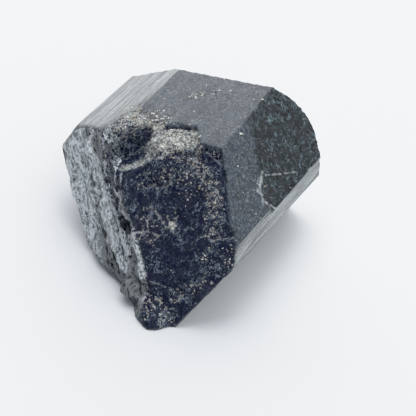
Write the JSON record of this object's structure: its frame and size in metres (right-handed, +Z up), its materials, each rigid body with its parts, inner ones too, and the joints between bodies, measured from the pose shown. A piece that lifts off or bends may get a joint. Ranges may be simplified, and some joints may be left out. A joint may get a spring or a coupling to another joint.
{
  "type": "tourmaline crystal",
  "caption": "Stubby black tourmaline crystal lying on a prism face, with striated prism faces, a flat far end and a rough broken near end.",
  "frame": {"origin": "bottom centre of the bounding box, on the surface the crystal rests on", "axes": "+Y runs along the crystal's long axis from the broken end to the grown end, +Z is up, +X is towards the narrow steep side face"},
  "size_m": [0.0434, 0.0452, 0.0244],
  "materials": {
    "tourmaline": "dark slate-black stone, satin prism faces, rough glittering break"
  },
  "bodies": {
    "root": {"tourmaline_crystal": "tourmaline"}
  },
  "joints": []
}
